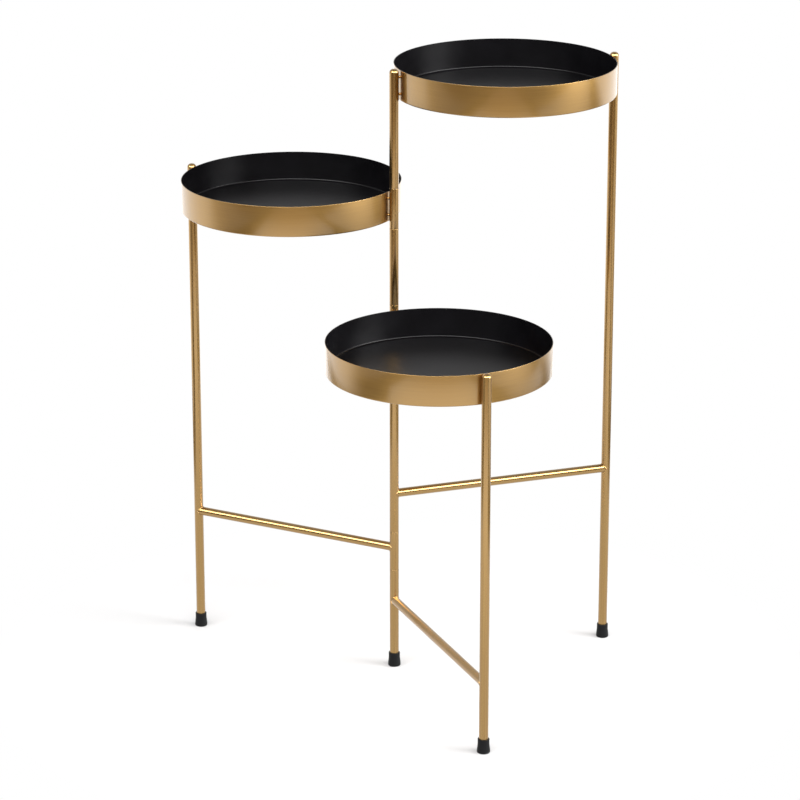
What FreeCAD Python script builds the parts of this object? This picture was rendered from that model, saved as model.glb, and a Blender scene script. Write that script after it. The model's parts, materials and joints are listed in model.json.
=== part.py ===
import FreeCAD, Part
import math
import os

# Folding plant stand. Three leaves, each a round tray between two upright tubes with one cross
# bar low down, swing like gates about one common post. The inner uprights of the leaves are cut
# into short lengths that stack up in turn on a steel rod, so the post is a long barrel hinge.
# Millimetres. Z is up, the origin is the middle of the centre foot's base on the floor.

# The leaves as the open stand has them: angle about the post, in degrees from +X towards +Y
tall_angle = 19.3
mid_angle = 152.1
low_angle = -68.2

# Height of each tray's rim and of each cross bar's axis above the floor
tall_rim_height = 738.0
mid_rim_height = 594.0
low_rim_height = 453.0
tall_bar_height = 222.5
mid_bar_height = 153.5
low_bar_height = 85.5

# Trays, drawn from sheet
tray_diameter = 260.0
tray_depth = 36.0
tray_sheet = 1.0
tray_edge = 1.0

# Upright tubes and cross bars
tube_diameter = 11.0
tube_wall = 1.2
bar_diameter = 10.5
bar_wall = 1.0

# Studs that hold a tray between its uprights
tray_gap = 1.5
stud_diameter = 3.0
stud_inset = 8.0

# Domed upper ends of the uprights, each turned in a few conical bands
dome_rise = 2.0
dome_height = 4.8
dome_bands = 2

# Hinge: the knuckles of the mid and low leaves, and the clearances round the rod
knuckle_length = 48.0
knuckle_rise = 5.0
lower_knuckle_drop = 4.0
knuckle_gap = 0.3
running_clearance = 0.05
seat_clearance = 0.02

# Lower end of the rod, which is riveted over under a plug in the foot of the post
rivet_head_diameter = 8.0
rivet_head_height = 3.0
rod_neck_diameter = 6.0
end_plug_length = 10.0
end_play = 0.2

# Rubber feet
foot_height = 17.2
foot_floor = 3.5
foot_flare_height = 3.0
foot_base_diameter = 15.2
foot_top_diameter = 13.2

# Sizes that follow from those above
tube_radius = tube_diameter / 2
bore_radius = tube_radius - tube_wall
tray_radius = tray_diameter / 2
leaf_reach = tray_diameter + 2 * tray_gap + tube_diameter
tray_centre = leaf_reach / 2

UP = FreeCAD.Vector(0, 0, 1)
OUTWARD = FreeCAD.Vector(1, 0, 0)


def point(radius, height):
    """A point at this distance from the post, in the leaf's upright plane."""
    return FreeCAD.Vector(radius, 0, height)


def lines(points):
    """Straight edges from each point to the next."""
    return [Part.LineSegment(point(*a), point(*b)).toShape() for a, b in zip(points, points[1:])]


def turned(edges):
    """The solid that a closed outline makes when it is turned about Z."""
    outline = Part.Wire(Part.__sortEdges__(edges))
    return Part.Face(outline).revolve(point(0, 0), UP, 360)


def rod(radius, bottom, top, x=0):
    """An upright cylinder at distance x along the leaf."""
    return Part.makeCylinder(radius, top - bottom, point(x, bottom), UP)


def tube(bottom, top):
    """A length of upright tube."""
    return rod(tube_radius, bottom, top).cut(rod(bore_radius, bottom, top))


def moved(shape, x):
    """The shape, shifted outwards along the leaf."""
    shape.translate(OUTWARD * x)
    return shape


def dome(top):
    """Points up the outside of a shallow dome, from its shoulder to its top, along a round arc."""
    dome_radius = (tube_radius ** 2 + dome_height ** 2) / (2 * dome_height)
    half_angle = math.asin(tube_radius / dome_radius)
    points = []
    for band in range(dome_bands + 1):
        angle = half_angle * (1 - band / dome_bands)
        drop = dome_radius * (1 - math.cos(angle))
        points.append((dome_radius * math.sin(angle), top - drop))
    return points


def domed_tube(bottom, top):
    """An upright tube whose upper end is closed with a shallow dome, ground flush."""
    shoulder = top - dome_height
    return turned(lines(dome(top) + [
        (0, shoulder),
        (bore_radius, shoulder),
        (bore_radius, bottom),
        (tube_radius, bottom),
        (tube_radius, shoulder),
    ]))


def tray(rim_height):
    """A shallow pan with an upright wall, drawn from sheet and eased under its edge."""
    underside = rim_height - tray_depth
    floor_top = underside + tray_sheet
    inside = tray_radius - tray_sheet
    return moved(turned(lines([
        (0, underside),
        (tray_radius - tray_edge, underside),
        (tray_radius, underside + tray_edge),
        (tray_radius, rim_height),
        (inside, rim_height),
        (inside, floor_top),
        (0, floor_top),
        (0, underside),
    ])), tray_centre)


def tray_studs(rim_height):
    """Two short pins on each side of the tray, notched to sit against the upright's round side."""
    studs = []
    for height in (rim_height - stud_inset, rim_height - tray_depth + stud_inset):
        for side, upright_at in ((-1, 0), (1, leaf_reach)):
            wall = point(tray_centre + side * tray_radius, height)
            to_upright = OUTWARD * side
            pin = Part.makeCylinder(stud_diameter / 2, tray_gap + tube_radius, wall, to_upright)
            upright = rod(tube_radius, height - stud_diameter, height + stud_diameter, upright_at)
            studs += pin.cut(upright).Solids
    return Part.makeCompound(studs)


def cross_bar(height):
    """A tube with both ends notched round, to sit against the uprights that it is welded to."""
    bar = Part.makeCylinder(bar_diameter / 2, leaf_reach, point(0, height), OUTWARD)
    bore = Part.makeCylinder(bar_diameter / 2 - bar_wall, leaf_reach, point(0, height), OUTWARD)
    uprights = [rod(tube_radius, height - bar_diameter, height + bar_diameter, x) for x in (0, leaf_reach)]
    return bar.cut(bore).cut(uprights).Solids[0]


def foot():
    """A flared rubber cup that is pushed over the lower end of an upright."""
    fit_radius = tube_radius + seat_clearance
    return turned(lines([
        (0, 0),
        (foot_base_diameter / 2, 0),
        (foot_top_diameter / 2, foot_flare_height),
        (foot_top_diameter / 2, foot_height),
        (fit_radius, foot_height),
        (fit_radius, foot_floor),
        (0, foot_floor),
        (0, 0),
    ]))


def beyond_post(rim_height, bar_height):
    """The pieces that every leaf has beyond the post, in the leaf's own frame."""
    return {
        "tray": tray(rim_height),
        "tray_studs": tray_studs(rim_height),
        "leg_tube": moved(domed_tube(foot_floor, rim_height + dome_rise), leaf_reach),
        "leg_foot": moved(foot(), leaf_reach),
        "cross_bar": cross_bar(bar_height),
    }


def tray_knuckle(rim_height):
    """Bottom and top of the knuckle that carries a tray on the post."""
    top = rim_height + knuckle_rise
    return top - knuckle_length, top


def post():
    """The stacked knuckles of the three leaves, the rod through them and what holds it in."""
    mid_upper = tray_knuckle(mid_rim_height)
    low_upper = tray_knuckle(low_rim_height)
    mid_lower_centre = mid_bar_height - lower_knuckle_drop
    mid_lower = (mid_lower_centre - knuckle_length / 2, mid_lower_centre + knuckle_length / 2)
    post_top = tall_rim_height + dome_rise
    return {
        "tall_upper_post_tube": domed_tube(mid_upper[1] + knuckle_gap, post_top),
        "mid_upper_sleeve": tube(*mid_upper),
        "post_spacer_tube": tube(low_upper[1] + knuckle_gap, mid_upper[0] - knuckle_gap),
        "low_upper_sleeve": tube(*low_upper),
        "tall_lower_post_tube": tube(mid_lower[1] + knuckle_gap, low_upper[0] - knuckle_gap),
        "mid_lower_sleeve": tube(*mid_lower),
        "low_lower_post_tube": tube(foot_floor, mid_lower[0] - knuckle_gap),
        "centre_foot": foot(),
        **rod_and_end_plug(post_top - dome_height),
    }


def rod_and_end_plug(rod_top):
    """The pivot rod, fast in the domed tube at its top, and the plug that its rivet head is under."""
    rod_radius = bore_radius - running_clearance
    neck_radius = rod_neck_diameter / 2
    head_radius = rivet_head_diameter / 2
    head_bottom = foot_floor + end_play
    head_top = head_bottom + rivet_head_height
    plug_bottom = head_top + end_play
    plug_top = plug_bottom + end_plug_length
    shoulder = plug_top + end_play
    plug = rod(bore_radius - seat_clearance, plug_bottom, plug_top)
    plug_bore = rod(neck_radius + running_clearance, plug_bottom, plug_top)
    pivot_rod = turned(lines([
        (0, head_bottom),
        (head_radius, head_bottom),
        (head_radius, head_top),
        (neck_radius, head_top),
        (neck_radius, shoulder),
        (rod_radius, shoulder),
        (rod_radius, rod_top),
        (0, rod_top),
        (0, head_bottom),
    ]))
    return {"pivot_rod": pivot_rod, "post_end_plug": plug.cut(plug_bore)}


pieces = post()
for leaf, angle, rim_height, bar_height in (
    ("tall", tall_angle, tall_rim_height, tall_bar_height),
    ("mid", mid_angle, mid_rim_height, mid_bar_height),
    ("low", low_angle, low_rim_height, low_bar_height),
):
    for piece, shape in beyond_post(rim_height, bar_height).items():
        shape.rotate(point(0, 0), UP, angle)
        pieces[leaf + "_" + piece] = shape

os.makedirs("parts", exist_ok=True)
for name, shape in pieces.items():
    shape.exportStep("parts/" + name + ".step")
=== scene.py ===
import bmesh
import bpy
import json
import math
from mathutils import Matrix, Vector


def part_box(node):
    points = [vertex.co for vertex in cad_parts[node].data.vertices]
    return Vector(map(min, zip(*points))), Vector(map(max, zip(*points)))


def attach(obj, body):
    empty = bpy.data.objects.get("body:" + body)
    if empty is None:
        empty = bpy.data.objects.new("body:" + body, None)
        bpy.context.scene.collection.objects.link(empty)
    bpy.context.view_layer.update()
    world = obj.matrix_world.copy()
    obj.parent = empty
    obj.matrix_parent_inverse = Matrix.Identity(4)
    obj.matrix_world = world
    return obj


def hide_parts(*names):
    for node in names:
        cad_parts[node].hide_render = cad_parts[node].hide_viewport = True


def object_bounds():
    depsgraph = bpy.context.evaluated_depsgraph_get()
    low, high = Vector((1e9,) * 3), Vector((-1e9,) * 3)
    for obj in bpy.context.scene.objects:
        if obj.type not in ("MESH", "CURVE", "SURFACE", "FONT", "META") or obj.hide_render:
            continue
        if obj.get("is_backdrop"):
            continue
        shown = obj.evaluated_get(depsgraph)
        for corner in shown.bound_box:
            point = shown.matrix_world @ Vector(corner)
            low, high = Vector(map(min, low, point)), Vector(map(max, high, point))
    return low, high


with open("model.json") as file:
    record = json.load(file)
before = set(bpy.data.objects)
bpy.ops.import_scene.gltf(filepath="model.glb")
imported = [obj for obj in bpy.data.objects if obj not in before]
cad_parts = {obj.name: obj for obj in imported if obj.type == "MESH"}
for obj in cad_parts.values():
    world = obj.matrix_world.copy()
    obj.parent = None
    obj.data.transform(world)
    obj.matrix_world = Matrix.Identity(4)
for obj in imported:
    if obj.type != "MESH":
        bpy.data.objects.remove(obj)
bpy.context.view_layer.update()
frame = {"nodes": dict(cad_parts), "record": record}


# Upright tubes. Round drawn brass tube, in leg lengths whose upper end is closed by a domed cap
# brazed in and ground flush, and in short lengths that stack up on a rod as the common post.
# Brushed lengthways to a satin and lacquered, so it carries soft upright streaks of light.

MM = 0.001
TUBE_WALL = 1.2 * MM
DOME_HEIGHT = 4.8 * MM
DOME_ROUNDING = 4.6 * MM
TUBE_END_ROUNDING = 0.3 * MM
TUBE_STEPS = 72
CORNER_STEPS = 7
PATH_RADIUS = 1 * MM
WELD_DISTANCE = 0.002 * MM
SMOOTH_UP_TO = math.radians(38)
DOMED_TUBES = ("tall_leg_tube", "mid_leg_tube", "low_leg_tube", "tall_upper_post_tube")
OPEN_TUBES = (
    "mid_upper_sleeve",
    "post_spacer_tube",
    "low_upper_sleeve",
    "tall_lower_post_tube",
    "mid_lower_sleeve",
    "low_lower_post_tube",
)

HAIRLINE_DARK = "#a6824a"
HAIRLINE_LIGHT = "#b79253"
BRASS_CLOUD = "#ae894e"
BRASS_CLOUD_SIZE = 45 * MM
HAIRLINE_LENGTH = 220 * MM
HAIRLINE_SPACING = 0.5 * MM
HAIRLINE_HEIGHT = 0.02 * MM
DULLNESS_SPREAD = 0.04
LACQUER_ROUGHNESS = 0.1
TUBE_DULLNESS = 0.26
TUBE_GRAIN_DEPTH = 0.04


def srgb(code):
    """A hex sRGB colour as linear RGBA."""
    shares = [int(code[i:i + 2], 16) / 255 for i in (1, 3, 5)]
    linear = [s / 12.92 if s <= 0.04045 else ((s + 0.055) / 1.055) ** 2.4 for s in shares]
    return (*linear, 1.0)


def add(tree, kind, inputs=None, **settings):
    """Adds one node with its settings and its inputs, each a value or another node's output."""
    node = tree.nodes.new(kind)
    for name, value in settings.items():
        setattr(node, name, value)
    for socket, value in (inputs or {}).items():
        if isinstance(value, bpy.types.NodeSocket):
            tree.links.new(value, node.inputs[socket])
        else:
            node.inputs[socket].default_value = value
    return node


def combined(tree, one, other, operation="MULTIPLY"):
    """Two values made into one."""
    return add(tree, "ShaderNodeMath", {0: one, 1: other}, operation=operation).outputs[0]


def new_object(name, data):
    """An object that shows the data, linked to the scene."""
    made = bpy.data.objects.new(name, data)
    bpy.context.scene.collection.objects.link(made)
    return made


def empty_tree(name, **inputs):
    """A geometry tree with a geometry input and output and its other inputs, by name and kind."""
    tree = bpy.data.node_groups.new(name, "GeometryNodeTree")
    tree.interface.new_socket("Geometry", in_out="OUTPUT", socket_type="NodeSocketGeometry")
    tree.interface.new_socket("Geometry", in_out="INPUT", socket_type="NodeSocketGeometry")
    for label, kind in inputs.items():
        tree.interface.new_socket(label, in_out="INPUT", socket_type="NodeSocket" + kind)
    return tree


def finish_tree(tree, given, geometry):
    """Ends a geometry tree: real geometry, smooth but for its sharp edges, in its finish."""
    real = add(tree, "GeometryNodeRealizeInstances", {"Geometry": geometry})
    angle = add(tree, "GeometryNodeInputMeshEdgeAngle")
    gentle = add(tree, "FunctionNodeCompare", {
        "A": angle.outputs["Unsigned Angle"],
        "B": SMOOTH_UP_TO,
    }, data_type="FLOAT", operation="LESS_THAN")
    smooth = add(tree, "GeometryNodeSetShadeSmooth", {
        "Geometry": real.outputs["Geometry"],
        "Shade Smooth": True,
    })
    creased = add(tree, "GeometryNodeSetShadeSmooth", {
        "Geometry": smooth.outputs["Geometry"],
        "Shade Smooth": gentle.outputs["Result"],
    }, domain="EDGE")
    finished = add(tree, "GeometryNodeSetMaterial", {
        "Geometry": creased.outputs["Geometry"],
        "Material": given.outputs["Finish"],
    })
    add(tree, "NodeGroupOutput", {"Geometry": finished.outputs["Geometry"]})


def turning_tree():
    """Turns an outline, whose points are (radius, 0, height), about the upright axis at Centre.

    The outline is laid flat as the section of a small ring, which is swept once round. The sweep
    leaves its faces inwards, so they are flipped.
    """
    tree = empty_tree("turned_outline", Steps="Int", Centre="Vector", Finish="Material")
    given = add(tree, "NodeGroupInput")
    place = add(tree, "GeometryNodeInputPosition")
    split = add(tree, "ShaderNodeSeparateXYZ", {"Vector": place.outputs["Position"]})
    laid = add(tree, "ShaderNodeCombineXYZ", {
        "X": combined(tree, split.outputs["X"], PATH_RADIUS, "SUBTRACT"),
        "Y": combined(tree, split.outputs["Z"], -1.0),
    })
    outline = add(tree, "GeometryNodeSetPosition", {
        "Geometry": given.outputs["Geometry"],
        "Position": laid.outputs["Vector"],
    })
    drawn = add(tree, "GeometryNodeMeshToCurve", {"Mesh": outline.outputs["Geometry"]})
    rounding = add(tree, "GeometryNodeInputNamedAttribute", {"Name": "rounding"}, data_type="FLOAT")
    rounded = add(tree, "GeometryNodeFilletCurve", {
        "Curve": drawn.outputs["Curve"],
        "Radius": rounding.outputs["Attribute"],
        "Limit Radius": True,
        "Count": CORNER_STEPS,
    }, mode="POLY")
    path = add(tree, "GeometryNodeCurvePrimitiveCircle", {
        "Resolution": given.outputs["Steps"],
        "Radius": PATH_RADIUS,
    })
    level = add(tree, "GeometryNodeSetCurveNormal", {"Curve": path.outputs["Curve"]}, mode="Z_UP")
    swept = add(tree, "GeometryNodeCurveToMesh", {
        "Curve": level.outputs["Curve"],
        "Profile Curve": rounded.outputs["Curve"],
    })
    joined = add(tree, "GeometryNodeMergeByDistance", {
        "Geometry": swept.outputs["Mesh"],
        "Distance": WELD_DISTANCE,
    })
    facing_out = add(tree, "GeometryNodeFlipFaces", {"Mesh": joined.outputs["Geometry"]})
    placed = add(tree, "GeometryNodeTransform", {
        "Geometry": facing_out.outputs["Mesh"],
        "Translation": given.outputs["Centre"],
    })
    finish_tree(tree, given, placed.outputs["Geometry"])
    return tree


def made_by_tree(name, mesh, tree, values):
    """An object whose mesh is what the tree makes of the given mesh, with nothing left live."""
    piece = new_object(name, mesh)
    modifier = piece.modifiers.new("making", "NODES")
    modifier.node_group = tree
    for socket in tree.interface.items_tree:
        if socket.in_out == "INPUT" and socket.name in values:
            modifier[socket.identifier] = values[socket.name]
    made = piece.evaluated_get(bpy.context.evaluated_depsgraph_get())
    plain = bpy.data.meshes.new_from_object(made)
    piece.modifiers.clear()
    piece.data = plain
    return piece


def turned(name, outline, closed, steps, centre, finish):
    """A turned piece. The outline runs anticlockwise, as (radius, height, corner rounding)."""
    count = len(outline)
    edges = [(i, i + 1) for i in range(count - 1)] + ([(count - 1, 0)] if closed else [])
    mesh = bpy.data.meshes.new(name + "_outline")
    mesh.from_pydata([(radius, 0, height) for radius, height, _ in outline], edges, [])
    rounding = mesh.attributes.new("rounding", "FLOAT", "POINT")
    rounding.data.foreach_set("value", [corner for _, _, corner in outline])
    values = {"Steps": steps, "Centre": centre, "Finish": finish}
    return made_by_tree(name, mesh, lathe, values)


def body_of_node(node):
    """The CAD body that a node belongs to."""
    bodies = frame["record"]["behaviour"]["bodies"]
    return next(body for body, nodes in bodies.items() if node in nodes)


def stands_for(piece, node):
    """The piece takes a CAD node's place, on the node's body."""
    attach(piece, body_of_node(node))
    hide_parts(node)


def upright_axis(node):
    """The middle of a round upright node, on the floor, with its radius, bottom and top."""
    low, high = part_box(node)
    middle = (low + high) / 2
    return Vector((middle.x, middle.y, 0)), (high.x - low.x) / 2, low.z, high.z


def new_finish(name):
    """A new material, with its tree, its shader and the object coordinates for its patterns."""
    material = bpy.data.materials.new(name)
    material.use_nodes = True
    tree = material.node_tree
    place = add(tree, "ShaderNodeTexCoord").outputs["Object"]
    return material, tree, tree.nodes["Principled BSDF"], place


def set_inputs(shader, **values):
    """Sets uniform values on the shader's own sockets. An underscore stands for a space."""
    for label, value in values.items():
        shader.inputs[label.replace("_", " ")].default_value = value


def tones(tree, share, dark, light, start=0.0, end=1.0):
    """From the dark colour to the light one as the share goes from start to end."""
    ramp = add(tree, "ShaderNodeValToRGB", {"Fac": share})
    ends = ramp.color_ramp.elements
    ends[0].position = start
    ends[0].color = srgb(dark)
    ends[1].position = end
    ends[1].color = srgb(light)
    return ramp.outputs["Color"]


def satin_brass(name, grain_turn, grain_scale, dullness, depth):
    """Brushed and lacquered brass, whose hairlines run wherever grain_scale draws them out.

    Brass is a warm yellow metal. The belt leaves hairlines about 0.2 mm apart, drawn at 0.5 mm so
    that they show. The clear lacquer over them is smoother than the metal, so bright things show
    twice: broad and golden in the brass, crisp and white on the lacquer, and most at the edges.
    """
    material, tree, shader, place = new_finish(name)
    turn = add(tree, "ShaderNodeMapping", {"Vector": place, "Rotation": grain_turn})
    grain = add(tree, "ShaderNodeMapping", {"Vector": turn.outputs["Vector"], "Scale": grain_scale})
    hairlines = add(tree, "ShaderNodeTexNoise", {
        "Vector": grain.outputs["Vector"],
        "Scale": 1.0,
        "Detail": 3.0,
        "Roughness": 0.6,
    }).outputs["Fac"]
    clouds = add(tree, "ShaderNodeTexNoise", {
        "Vector": place,
        "Scale": 1 / BRASS_CLOUD_SIZE,
        "Detail": 2.0,
    })
    toned = add(tree, "ShaderNodeMix", {
        "Factor": clouds.outputs["Fac"],
        "A": tones(tree, hairlines, HAIRLINE_DARK, HAIRLINE_LIGHT, 0.32, 0.68),
        "B": srgb(BRASS_CLOUD),
    }, data_type="RGBA")
    polish = add(tree, "ShaderNodeMapRange", {
        "Value": hairlines,
        "From Min": 0.25,
        "From Max": 0.75,
        "To Min": dullness - DULLNESS_SPREAD,
        "To Max": dullness + DULLNESS_SPREAD,
    })
    relief = add(tree, "ShaderNodeBump", {
        "Height": hairlines,
        "Strength": depth,
        "Distance": HAIRLINE_HEIGHT,
    })
    tree.links.new(toned.outputs["Result"], shader.inputs["Base Color"])
    tree.links.new(polish.outputs["Result"], shader.inputs["Roughness"])
    tree.links.new(relief.outputs["Normal"], shader.inputs["Normal"])
    set_inputs(shader, Metallic=1.0, Coat_Weight=1.0, Coat_Roughness=LACQUER_ROUGHNESS)
    return material


lathe = turning_tree()
upright = (0, math.radians(90), 0)
along_x = (1 / HAIRLINE_LENGTH, 1 / HAIRLINE_SPACING, 1 / HAIRLINE_SPACING)
tube_brass = satin_brass("brushed_brass_tube", upright, along_x, TUBE_DULLNESS, TUBE_GRAIN_DEPTH)

for node in DOMED_TUBES:
    foot_of_axis, radius, bottom, top = upright_axis(node)
    ceiling = top - DOME_HEIGHT
    piece = turned("brass_" + node, [
        (0, ceiling, 0),
        (radius - TUBE_WALL, ceiling, 0),
        (radius - TUBE_WALL, bottom, 0),
        (radius, bottom, TUBE_END_ROUNDING),
        (radius, top, DOME_ROUNDING),
        (0, top, 0),
    ], False, TUBE_STEPS, foot_of_axis, tube_brass)
    stands_for(piece, node)

for node in OPEN_TUBES:
    foot_of_axis, radius, bottom, top = upright_axis(node)
    piece = turned("brass_" + node, [
        (radius - TUBE_WALL, bottom, 0),
        (radius, bottom, TUBE_END_ROUNDING),
        (radius, top, TUBE_END_ROUNDING),
        (radius - TUBE_WALL, top, 0),
    ], True, TUBE_STEPS, foot_of_axis, tube_brass)
    stands_for(piece, node)


# Cross bars. One level tube low in each leaf, its ends notched round to the uprights and welded,
# then the whole leaf is brushed along the bar and lacquered.

BAR_WALL = 1.0 * MM
BAR_STEPS = 64
BAR_DULLNESS = 0.24
BAR_GRAIN_DEPTH = 0.02
NOTCH_DEPTH = 0.05 * MM
LEAVES = ("tall", "mid", "low")


def leaf_frame(leaf):
    """A leaf's angle about the post, its leg's distance from the post, and its tubes' radius."""
    leg, tube_radius, _, _ = upright_axis(leaf + "_leg_tube")
    return math.atan2(leg.y, leg.x), leg.length, tube_radius


def bar_axis(leaf):
    """The height of a leaf's cross bar, and its radius."""
    low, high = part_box(leaf + "_cross_bar")
    return (low.z + high.z) / 2, (high.z - low.z) / 2


def notched_ring(radius, height, reach, tube_radius, at_leg, steps):
    """Points round a level tube where it meets the round side of the post, or of the leg."""
    ring = []
    for step in range(steps):
        around = math.tau * step / steps
        y = radius * math.cos(around)
        near = math.sqrt((tube_radius - NOTCH_DEPTH) ** 2 - y ** 2)
        x = reach - near if at_leg else near
        ring.append(Vector((x, y, height + radius * math.sin(around))))
    return ring


def notched_tube(name, leaf, finish):
    """A leaf's cross bar, closed at both ends along its notches."""
    angle, reach, tube_radius = leaf_frame(leaf)
    height, outer = bar_axis(leaf)
    inner = outer - BAR_WALL
    shape = bmesh.new()
    rings = []
    for radius, at_leg in ((outer, False), (outer, True), (inner, True), (inner, False)):
        ring = notched_ring(radius, height, reach, tube_radius, at_leg, BAR_STEPS)
        rings.append([shape.verts.new(point) for point in ring])
    for ring, following in zip(rings, rings[1:] + rings[:1]):
        for step in range(BAR_STEPS):
            after = (step + 1) % BAR_STEPS
            shape.faces.new((ring[step], ring[after], following[after], following[step]))
    bmesh.ops.recalc_face_normals(shape, faces=shape.faces)
    turn = Matrix.Rotation(angle, 3, "Z")
    bmesh.ops.rotate(shape, cent=(0, 0, 0), matrix=turn, verts=shape.verts)
    mesh = bpy.data.meshes.new(name)
    shape.to_mesh(mesh)
    shape.free()
    mesh.shade_smooth()
    mesh.set_sharp_from_angle(angle=SMOOTH_UP_TO)
    mesh.materials.append(finish)
    return new_object(name, mesh)


bar_brass = {}
for leaf in LEAVES:
    along_bar = (0, 0, -leaf_frame(leaf)[0])
    bar_brass[leaf] = satin_brass(
        "brushed_brass_" + leaf + "_bar", along_bar, along_x, BAR_DULLNESS, BAR_GRAIN_DEPTH
    )
    piece = notched_tube("brass_" + leaf + "_cross_bar", leaf, bar_brass[leaf])
    stands_for(piece, leaf + "_cross_bar")


# Weld beads. A thin bead of filler runs round each end of a cross bar, where it meets its
# upright. It is laid in overlapping drops, so it has fine ripples, and is brushed over after.

BEAD_RADIUS = 0.75 * MM
BEAD_STEPS = 160
BEAD_SIDES = 14
RIPPLE_LENGTH = 1.1 * MM
RIPPLE_HEIGHT = 0.22 * MM


def bead_tree():
    """Runs a round bead along each closed line, with drops that swell and shrink it."""
    tree = empty_tree("weld_bead", Radius="Float", Ripple="Float", Seed="Float", Finish="Material")
    given = add(tree, "NodeGroupInput")
    line = add(tree, "GeometryNodeMeshToCurve", {"Mesh": given.outputs["Geometry"]})
    section = add(tree, "GeometryNodeCurvePrimitiveCircle", {
        "Resolution": BEAD_SIDES,
        "Radius": given.outputs["Radius"],
    })
    bead = add(tree, "GeometryNodeCurveToMesh", {
        "Curve": line.outputs["Curve"],
        "Profile Curve": section.outputs["Curve"],
    })
    drops = add(tree, "ShaderNodeTexNoise", {
        "W": given.outputs["Seed"],
        "Scale": 1 / RIPPLE_LENGTH,
        "Detail": 1.0,
    }, noise_dimensions="4D")
    level = combined(tree, drops.outputs["Fac"], 0.5, "SUBTRACT")
    outwards = add(tree, "GeometryNodeInputNormal")
    push = add(tree, "ShaderNodeVectorMath", {
        "Vector": outwards.outputs["Normal"],
        "Scale": combined(tree, level, given.outputs["Ripple"]),
    }, operation="SCALE")
    rippled = add(tree, "GeometryNodeSetPosition", {
        "Geometry": bead.outputs["Mesh"],
        "Offset": push.outputs["Vector"],
    })
    finish_tree(tree, given, rippled.outputs["Geometry"])
    return tree


bead_maker = bead_tree()
for seed, leaf in enumerate(LEAVES):
    angle, reach, tube_radius = leaf_frame(leaf)
    height, bar_radius = bar_axis(leaf)
    turn = Matrix.Rotation(angle, 3, "Z")
    points = []
    edges = []
    for at_leg in (False, True):
        first = len(points)
        ring = notched_ring(bar_radius, height, reach, tube_radius, at_leg, BEAD_STEPS)
        points += [turn @ point for point in ring]
        edges += [(first + step, first + (step + 1) % BEAD_STEPS) for step in range(BEAD_STEPS)]
    lines = bpy.data.meshes.new(leaf + "_bead_lines")
    lines.from_pydata(points, edges, [])
    beads = made_by_tree(leaf + "_bar_weld_beads", lines, bead_maker, {
        "Radius": BEAD_RADIUS,
        "Ripple": RIPPLE_HEIGHT,
        "Seed": float(seed),
        "Finish": bar_brass[leaf],
    })
    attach(beads, leaf + "_leaf")


# Trays. Each is a round pan drawn from one brass sheet, with a tight bend round its floor. The
# outside is brushed round the wall and lacquered. The inside is enamelled black, over the rim.

TRAY_SHEET = 1.0 * MM
TRAY_BEND = 1.6 * MM
FLOOR_CORNER = 2.0 * MM
RIM_ROUNDING = 0.35 * MM
BARE_EDGE = 0.3 * MM
TRAY_STEPS = 256
WALL_HAIRLINE_LENGTH = 70 * MM
WALL_DULLNESS = 0.35
WALL_GRAIN_DEPTH = 0.2

ENAMEL = 0.14 * MM
ENAMEL_DARK = "#040305"
ENAMEL_LIGHT = "#08070a"
ENAMEL_ROUGHNESS = (0.31, 0.34)
ENAMEL_IOR = 1.31
ENAMEL_CLOUD_SIZE = 30 * MM
PEEL_SIZE = 1.5 * MM
PEEL_HEIGHT = 0.01 * MM


def black_enamel():
    """Stoved black enamel, sprayed into the pan.

    It has a soft gloss: fine orange peel, about 1.5 mm from crest to crest, softens what it
    reflects into grey patches.
    """
    material, tree, shader, place = new_finish("stoved_black_enamel")
    peel = add(tree, "ShaderNodeTexNoise", {
        "Vector": place,
        "Scale": 1 / PEEL_SIZE,
        "Detail": 1.0,
    })
    clouds = add(tree, "ShaderNodeTexNoise", {
        "Vector": place,
        "Scale": 1 / ENAMEL_CLOUD_SIZE,
        "Detail": 2.0,
    }).outputs["Fac"]
    gloss = add(tree, "ShaderNodeMapRange", {
        "Value": clouds,
        "From Min": 0.3,
        "From Max": 0.7,
        "To Min": ENAMEL_ROUGHNESS[0],
        "To Max": ENAMEL_ROUGHNESS[1],
    })
    relief = add(tree, "ShaderNodeBump", {
        "Height": peel.outputs["Fac"],
        "Strength": 0.1,
        "Distance": PEEL_HEIGHT,
    })
    toned = tones(tree, clouds, ENAMEL_DARK, ENAMEL_LIGHT, 0.3, 0.7)
    tree.links.new(toned, shader.inputs["Base Color"])
    tree.links.new(gloss.outputs["Result"], shader.inputs["Roughness"])
    tree.links.new(relief.outputs["Normal"], shader.inputs["Normal"])
    set_inputs(shader, IOR=ENAMEL_IOR)
    return material


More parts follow.
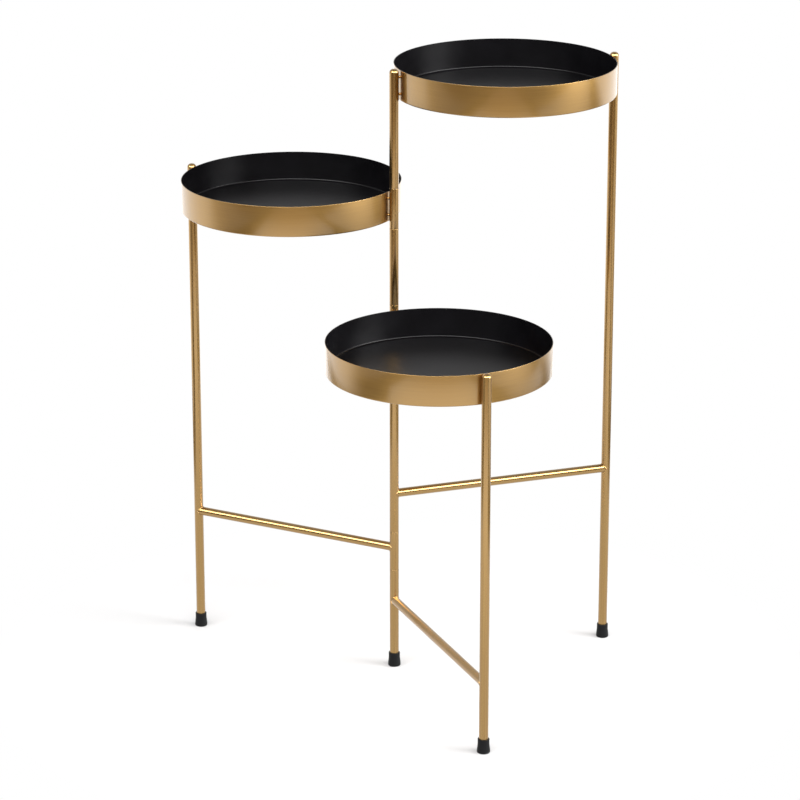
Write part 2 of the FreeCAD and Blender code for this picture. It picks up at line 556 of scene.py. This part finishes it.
enamel = black_enamel()
unturned = (0, 0, 0)
round_wall = (1 / WALL_HAIRLINE_LENGTH, 1 / WALL_HAIRLINE_LENGTH, 1 / HAIRLINE_SPACING)
wall_brass = satin_brass(
    "brushed_brass_sheet", unturned, round_wall, WALL_DULLNESS, WALL_GRAIN_DEPTH
)
for leaf in LEAVES:
    centre, radius, bottom, rim = upright_axis(leaf + "_tray")
    floor_top = bottom + TRAY_SHEET
    inside = radius - TRAY_SHEET
    under_enamel = inside + ENAMEL
    pan = turned(leaf + "_tray_pan", [
        (0, bottom, 0),
        (radius, bottom, TRAY_BEND),
        (radius, rim, RIM_ROUNDING),
        (radius - BARE_EDGE, rim, 0),
        (radius - BARE_EDGE, rim - ENAMEL, 0),
        (under_enamel, rim - ENAMEL, 0),
        (under_enamel, floor_top - ENAMEL, FLOOR_CORNER),
        (0, floor_top - ENAMEL, 0),
    ], False, TRAY_STEPS, centre, wall_brass)
    lining = turned(leaf + "_tray_enamel", [
        (0, floor_top - ENAMEL, 0),
        (under_enamel, floor_top - ENAMEL, FLOOR_CORNER),
        (under_enamel, rim - ENAMEL, 0),
        (radius - BARE_EDGE, rim - ENAMEL, 0),
        (radius - BARE_EDGE, rim, 0),
        (inside, rim, RIM_ROUNDING),
        (inside, floor_top, FLOOR_CORNER),
        (0, floor_top, 0),
    ], False, TRAY_STEPS, centre, enamel)
    for piece in (pan, lining):
        stands_for(piece, leaf + "_tray")


# Tray studs. Four short pins hold each tray off its two uprights, with a sliver of daylight
# between. Each is brazed at both ends, so it is waisted, and bright where the brush can't reach.

STUD_RADIUS = 1.5 * MM
STUD_FLARE = 0.8
STUD_SEAT = 0.7 * MM
STUD_SIDES = 32
STUD_BANDS = 12
STUD_DULLNESS = 0.13
STUD_GRAIN_DEPTH = 0.05


def stud_tree():
    """Sets a waisted pin at each point, aimed along the leaf."""
    tree = empty_tree(
        "studs", Radius="Float", Length="Float", Flare="Float", Aim="Vector", Finish="Material"
    )
    given = add(tree, "NodeGroupInput")
    pin = add(tree, "GeometryNodeMeshCylinder", {
        "Vertices": STUD_SIDES,
        "Side Segments": STUD_BANDS,
        "Radius": given.outputs["Radius"],
        "Depth": given.outputs["Length"],
    })
    place = add(tree, "GeometryNodeInputPosition")
    split = add(tree, "ShaderNodeSeparateXYZ", {"Vector": place.outputs["Position"]})
    share = combined(tree, split.outputs["Z"], given.outputs["Length"], "DIVIDE")
    to_end = combined(tree, share, 2.0)
    growth = add(tree, "ShaderNodeMath", {
        0: combined(tree, to_end, to_end),
        1: given.outputs["Flare"],
        2: 1.0,
    }, operation="MULTIPLY_ADD").outputs[0]
    scale = add(tree, "ShaderNodeCombineXYZ", {"X": growth, "Y": growth, "Z": 1.0})
    wide = add(tree, "ShaderNodeVectorMath", {
        0: place.outputs["Position"],
        1: scale.outputs["Vector"],
    }, operation="MULTIPLY")
    waisted = add(tree, "GeometryNodeSetPosition", {
        "Geometry": pin.outputs["Mesh"],
        "Position": wide.outputs["Vector"],
    })
    aimed = add(tree, "FunctionNodeAlignRotationToVector", {"Vector": given.outputs["Aim"]}, axis="Z")
    pins = add(tree, "GeometryNodeInstanceOnPoints", {
        "Points": given.outputs["Geometry"],
        "Instance": waisted.outputs["Geometry"],
        "Rotation": aimed.outputs["Rotation"],
    })
    finish_tree(tree, given, pins.outputs["Instances"])
    return tree


stud_maker = stud_tree()
stud_brass = satin_brass(
    "bright_brass_studs", upright, along_x, STUD_DULLNESS, STUD_GRAIN_DEPTH
)
for leaf in LEAVES:
    angle, reach, tube_radius = leaf_frame(leaf)
    centre, tray_radius, _, _ = upright_axis(leaf + "_tray")
    low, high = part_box(leaf + "_tray_studs")
    gap = reach / 2 - tray_radius - tube_radius
    outward = Vector((math.cos(angle), math.sin(angle), 0))
    middles = []
    for height in (low.z + STUD_RADIUS, high.z - STUD_RADIUS):
        for along in (tube_radius + gap / 2, reach - tube_radius - gap / 2):
            middles.append(outward * along + Vector((0, 0, height)))
    spots = bpy.data.meshes.new(leaf + "_stud_spots")
    spots.from_pydata(middles, [], [])
    studs = made_by_tree(leaf + "_brazed_studs", spots, stud_maker, {
        "Radius": STUD_RADIUS,
        "Length": gap + 2 * STUD_SEAT,
        "Flare": STUD_FLARE,
        "Aim": outward,
        "Finish": stud_brass,
    })
    stands_for(studs, leaf + "_tray_studs")


# Pivot rod and the plug at its foot. Bright drawn steel, hidden in the post: the rod is fast in
# the domed tube at the top, and its lower end is riveted over under the plug.

STEEL_DARK = "#8f9093"
STEEL_LIGHT = "#c4c5c8"
STEEL_ROUGHNESS = 0.3
DIE_LINE_LENGTH = 60 * MM
DIE_LINE_SPACING = 0.3 * MM


def drawn_steel():
    """Bright drawn mild steel: the die leaves fine lines along it, about 0.3 mm apart."""
    material, tree, shader, place = new_finish("bright_drawn_steel")
    stretched = add(tree, "ShaderNodeMapping", {
        "Vector": place,
        "Scale": (1 / DIE_LINE_SPACING, 1 / DIE_LINE_SPACING, 1 / DIE_LINE_LENGTH),
    })
    lines = add(tree, "ShaderNodeTexNoise", {"Vector": stretched.outputs["Vector"], "Scale": 1.0})
    toned = tones(tree, lines.outputs["Fac"], STEEL_DARK, STEEL_LIGHT)
    tree.links.new(toned, shader.inputs["Base Color"])
    set_inputs(shader, Metallic=1.0, Roughness=STEEL_ROUGHNESS)
    return material


steel = drawn_steel()
for node in ("pivot_rod", "post_end_plug"):
    frame["nodes"][node].data.materials.clear()
    frame["nodes"][node].data.materials.append(steel)


# Feet. A moulded black rubber cup is pushed over the lower end of each upright. It is upright at
# its mouth, flares out to a wider base and is rounded under, so it grips without marking a floor.

FOOT_FLOOR = 3.5 * MM
FOOT_MOUTH_RADIUS = 6.8 * MM
FOOT_FLARE_TOP = 10.5 * MM
FOOT_FLARE_ROUNDING = 14 * MM
FOOT_BASE_ROUNDING = 1.5 * MM
FOOT_LIP_ROUNDING = 0.35 * MM
FOOT_STEPS = 96
RUBBER_DARK = "#050506"
RUBBER_LIGHT = "#09090b"
RUBBER_ROUGHNESS = 0.5
RUBBER_IOR = 1.3
RUBBER_GRAIN_SIZE = 0.6 * MM
RUBBER_GRAIN_HEIGHT = 0.05 * MM


def moulded_rubber():
    """Carbon-black rubber from a blasted mould: matt, with a fine grain about 0.6 mm across."""
    material, tree, shader, place = new_finish("moulded_black_rubber")
    grain = add(tree, "ShaderNodeTexNoise", {
        "Vector": place,
        "Scale": 1 / RUBBER_GRAIN_SIZE,
        "Detail": 2.0,
    }).outputs["Fac"]
    relief = add(tree, "ShaderNodeBump", {
        "Height": grain,
        "Strength": 0.4,
        "Distance": RUBBER_GRAIN_HEIGHT,
    })
    tree.links.new(tones(tree, grain, RUBBER_DARK, RUBBER_LIGHT), shader.inputs["Base Color"])
    tree.links.new(relief.outputs["Normal"], shader.inputs["Normal"])
    set_inputs(shader, Roughness=RUBBER_ROUGHNESS, IOR=RUBBER_IOR)
    return material


rubber = moulded_rubber()
for node in ("tall_leg_foot", "mid_leg_foot", "low_leg_foot", "centre_foot"):
    centre, base_radius, bottom, top = upright_axis(node)
    _, tube_radius, _, _ = upright_axis("tall_leg_tube")
    piece = turned("rubber_" + node, [
        (0, bottom, 0),
        (base_radius, bottom, FOOT_BASE_ROUNDING),
        (base_radius, bottom + 2 * FOOT_BASE_ROUNDING, FOOT_FLARE_ROUNDING),
        (FOOT_MOUTH_RADIUS, bottom + FOOT_FLARE_TOP, FOOT_FLARE_ROUNDING),
        (FOOT_MOUTH_RADIUS, top, FOOT_LIP_ROUNDING),
        (tube_radius, top, FOOT_LIP_ROUNDING / 2),
        (tube_radius, bottom + FOOT_FLOOR, 0),
        (0, bottom + FOOT_FLOOR, 0),
    ], False, FOOT_STEPS, centre, rubber)
    stands_for(piece, node)


# Studio floor. White paper under the stand runs out to a white background. What the metal mirrors
# of it is painted reflection, which only reflected rays see: a painted bright lane of paper, a
# painted bright glow out to the right in place of a big soft box and one behind to the left, and
# painted dark gaps between. An edge is an axis and where the patch starts and is full, in metres.

FLOOR_RADIUS = 14.0
FLOOR_SIDES = 96
PAPER = (0.82, 0.82, 0.83, 1)
PAPER_AS_SEEN = (0.74, 0.74, 0.745, 1)
WHITE = (1, 1, 1, 1)
# Painted highlight: the bright lane of paper that the floor glows with for reflected rays only.
PAINTED_BRIGHT_LANE = (1.5, 1.5, 1.5, 1)
PAINTED_NEAR_LANE = (0.92, 0.92, 0.92, 1)
# Painted shade in the reflection: dark gaps and dimmer sides, for reflected rays only.
PAINTED_DARK_GAP = (0.12, 0.09, 0.06, 1)
PAINTED_DIM_SIDES = (0.72, 0.66, 0.58, 1)
# Painted highlights in the reflection: bright glows right and left, in place of soft boxes.
PAINTED_RIGHT_GLOW = (1.0, 1.0, 1.0, 1)
PAINTED_LEFT_GLOW = (1.35, 1.35, 1.35, 1)
# Painted shade in the reflection: what the metal mirrors of the floor is darker in front.
PAINTED_FRONT_DIMMING = (0.37, 0.28, 0.2, 1)

SHADOW_REACH = (0.38, 0.5)
PAINTED_LANE_BRIGHTENS = (0.3, 1.4)
LANE_SIDE = (1.18, 0.92)
LANE_NARROWS = (-1.2, -0.7)
LANE_NARROWING = 0.73
LANE_OPENS_BEHIND = (0.6, 1.4)
SIDES_BRIGHTEN = (1.35, 1.7)
FRONT_DIMS = (-1.1, -2.6)
# Edges of the painted bright glows, and of the painted dark patch behind the right one.
RIGHT_GLOW_EDGES = (("X", 1.15, 1.4), ("Y", -2.4, -1.7), ("Y", 0.45, -0.6))
RIGHT_GLOW_CORNER_EDGES = (("X", 1.0, 1.2), ("X", 1.6, 1.45), ("Y", -0.9, -0.3), ("Y", 0.8, 0.4))
DARK_PATCH_BEHIND_EDGES = (("X", 1.5, 1.75), ("Y", 0.0, 0.4))
LEFT_GLOW_EDGES = (("X", -0.9, -1.15), ("Y", -0.45, 0.25))


def eased(tree, value, start, end, low=0.0, high=1.0):
    """From low to high as the value goes from start to end, with no corner at either."""
    return add(tree, "ShaderNodeMapRange", {
        "Value": value,
        "From Min": start,
        "From Max": end,
        "To Min": low,
        "To Max": high,
    }, interpolation_type="SMOOTHSTEP").outputs["Result"]


def patch(tree, axes, edges):
    """How far a place lies inside all of a patch's edges, from 0 to 1."""
    inside = 1.0
    for axis, start, full in edges:
        inside = combined(tree, eased(tree, axes.outputs[axis], start, full), inside)
    return inside


def covered(tree, share, under, over, blend_type="MIX"):
    """The colour under, covered by the colour over where the share is 1."""
    return add(tree, "ShaderNodeMix", {
        "Factor": share,
        "A": under,
        "B": over,
    }, data_type="RGBA", blend_type=blend_type).outputs["Result"]


def painted_floor_reflection(tree, axes, distance):
    """Painted reflection: the floor's colour for reflected rays only, as the metal mirrors it."""
    back = axes.outputs["Y"]
    sideways = add(tree, "ShaderNodeMath", {0: axes.outputs["X"]}, operation="ABSOLUTE").outputs[0]
    width = eased(tree, back, *LANE_NARROWS, 1.0, LANE_NARROWING)
    beside_stand = eased(tree, combined(tree, sideways, width, "DIVIDE"), *LANE_SIDE)
    lane = combined(tree, beside_stand, eased(tree, back, *LANE_OPENS_BEHIND), "MAXIMUM")
    # Painted highlight in the reflection: the lane goes from dimmer near the stand to brighter.
    painted_lane = covered(tree, eased(tree, distance, *PAINTED_LANE_BRIGHTENS), PAINTED_NEAR_LANE, PAINTED_BRIGHT_LANE)
    # Where the painted bright glow to the right lies, with its corner.
    right_glow_main = patch(tree, axes, RIGHT_GLOW_EDGES)
    right_glow = combined(tree, right_glow_main, patch(tree, axes, RIGHT_GLOW_CORNER_EDGES), "MAXIMUM")
    # Painted shade: dark gaps, dimmer sides and a dark patch behind the right glow.
    seen = covered(tree, eased(tree, sideways, *SIDES_BRIGHTEN), PAINTED_DARK_GAP, PAINTED_DIM_SIDES)
    seen = covered(tree, patch(tree, axes, DARK_PATCH_BEHIND_EDGES), seen, PAINTED_DARK_GAP)
    seen = covered(tree, lane, seen, painted_lane)
    # Painted shade: darker in front.
    seen = covered(tree, eased(tree, back, *FRONT_DIMS), seen, PAINTED_FRONT_DIMMING, "MULTIPLY")
    # Painted highlights: the bright glows to the right and to the left.
    seen = covered(tree, right_glow, seen, PAINTED_RIGHT_GLOW)
    return covered(tree, patch(tree, axes, LEFT_GLOW_EDGES), seen, PAINTED_LEFT_GLOW)


floor_mesh = bpy.data.meshes.new("studio_floor")
floor_shape = bmesh.new()
bmesh.ops.create_circle(floor_shape, cap_ends=True, segments=FLOOR_SIDES, radius=FLOOR_RADIUS)
floor_shape.to_mesh(floor_mesh)
floor_shape.free()
floor = new_object("studio_floor", floor_mesh)
floor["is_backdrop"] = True

paper = bpy.data.materials.new("white_paper_and_painted_reflection")
paper.use_nodes = True
tree = paper.node_tree
tree.nodes.clear()
place = add(tree, "ShaderNodeTexCoord").outputs["Object"]
axes = add(tree, "ShaderNodeSeparateXYZ", {"Vector": place})
distance = add(tree, "ShaderNodeVectorMath", {0: place}, operation="LENGTH").outputs["Value"]
# Painted reflection: an emission that only reflected rays see, not a lamp.
painted_reflection = add(tree, "ShaderNodeEmission", {
    "Color": painted_floor_reflection(tree, axes, distance),
    "Strength": 1.0,
})
near_feet = add(tree, "ShaderNodeBsdfDiffuse", {"Color": PAPER_AS_SEEN})
white = add(tree, "ShaderNodeEmission", {"Color": WHITE, "Strength": 1.0})
to_camera = add(tree, "ShaderNodeMixShader", {
    0: eased(tree, distance, *SHADOW_REACH),
    1: near_feet.outputs["BSDF"],
    2: white.outputs["Emission"],
})
matt = add(tree, "ShaderNodeBsdfDiffuse", {"Color": PAPER})
rays = add(tree, "ShaderNodeLightPath")
bounced = add(tree, "ShaderNodeMixShader", {
    0: combined(tree, rays.outputs["Is Glossy Ray"], rays.outputs["Is Transmission Ray"], "MAXIMUM"),
    1: matt.outputs["BSDF"],
    2: painted_reflection.outputs["Emission"],
})
surface = add(tree, "ShaderNodeMixShader", {
    0: rays.outputs["Is Camera Ray"],
    1: bounced.outputs["Shader"],
    2: to_camera.outputs["Shader"],
})
add(tree, "ShaderNodeOutputMaterial", {"Surface": surface.outputs["Shader"]})
floor_mesh.materials.append(paper)


# Studio room. Dim walls that are lighter behind the stand, and a long strip light high in front,
# which is brighter as the metal mirrors it than as a light. Edges are shares of a unit direction.

BACK_STRENGTH = 0.68
FRONT_STRENGTH = 0.1
CEILING_SHARE = 0.7
CEILING_RISES = (0.5, 0.9)
STRIP_STRENGTH = 6.0
STRIP_IN_METAL = 10.0
FRONT_SIDE = (-0.1, -0.5)
STRIP_EDGES = (("Z", 0.33, 0.42), ("Z", 0.76, 0.67), ("Y", *FRONT_SIDE))

world = bpy.data.worlds.new("studio_room")
bpy.context.scene.world = world
world.use_nodes = True
tree = world.node_tree
tree.nodes.clear()
direction = add(tree, "ShaderNodeTexCoord").outputs["Generated"]
axes = add(tree, "ShaderNodeSeparateXYZ", {"Vector": direction})
rays = add(tree, "ShaderNodeLightPath")
walls = add(tree, "ShaderNodeMix", {
    "Factor": eased(tree, axes.outputs["Y"], *FRONT_SIDE),
    "A": BACK_STRENGTH,
    "B": FRONT_STRENGTH,
})
ceiling = eased(tree, axes.outputs["Z"], *CEILING_RISES, 1.0, CEILING_SHARE)
strip_strength = add(tree, "ShaderNodeMix", {
    "Factor": rays.outputs["Is Glossy Ray"],
    "A": STRIP_STRENGTH,
    "B": STRIP_IN_METAL,
})
strip = combined(tree, patch(tree, axes, STRIP_EDGES), strip_strength.outputs["Result"])
room = combined(tree, walls.outputs["Result"], ceiling)
lit = add(tree, "ShaderNodeBackground", {
    "Color": WHITE,
    "Strength": combined(tree, room, strip, "ADD"),
})
white = add(tree, "ShaderNodeBackground", {"Color": WHITE, "Strength": 1.0})
sky = add(tree, "ShaderNodeMixShader", {
    0: rays.outputs["Is Camera Ray"],
    1: lit.outputs["Background"],
    2: white.outputs["Background"],
})
add(tree, "ShaderNodeOutputWorld", {"Surface": sky.outputs["Shader"]})


# Lamp and camera. A far lamp low on the right casts the shadows of the feet. The camera is a long
# lens about 4 m off, a little above the stand and tipped down to it, as the photo's rims show.

LAMP_WIDTH = 3.4
LAMP_HEIGHT = 2.3
LAMP_POWER = 380
LAMP_PLACE = (5.83, -1.45, 2.18)
CAMERA_PLACE = (-0.0019, -3.6678, 1.5611)
CAMERA_PITCH = math.radians(18.415)
CAMERA_TURN = 0.0024
CAMERA_LENS = 146.80
CAMERA_SENSOR = 36.0
CAMERA_REACH = 60.0

low_lamp = bpy.data.lights.new("low_right_lamp", "AREA")
low_lamp.shape = "RECTANGLE"
low_lamp.size = LAMP_WIDTH
low_lamp.size_y = LAMP_HEIGHT
low_lamp.energy = LAMP_POWER
lamp = new_object("low_right_lamp", low_lamp)
lamp.location = LAMP_PLACE
lamp.rotation_euler = lamp.location.to_track_quat("Z", "Y").to_euler()

camera_data = bpy.data.cameras.new("photo_camera")
camera_data.lens = CAMERA_LENS
camera_data.sensor_width = CAMERA_SENSOR
camera_data.clip_end = CAMERA_REACH
camera = new_object("photo_camera", camera_data)
camera.location = CAMERA_PLACE
camera.rotation_euler = (math.pi / 2 - CAMERA_PITCH, 0, -CAMERA_TURN)
bpy.context.scene.camera = camera
bpy.context.scene.view_settings.view_transform = "Standard"

low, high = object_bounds()
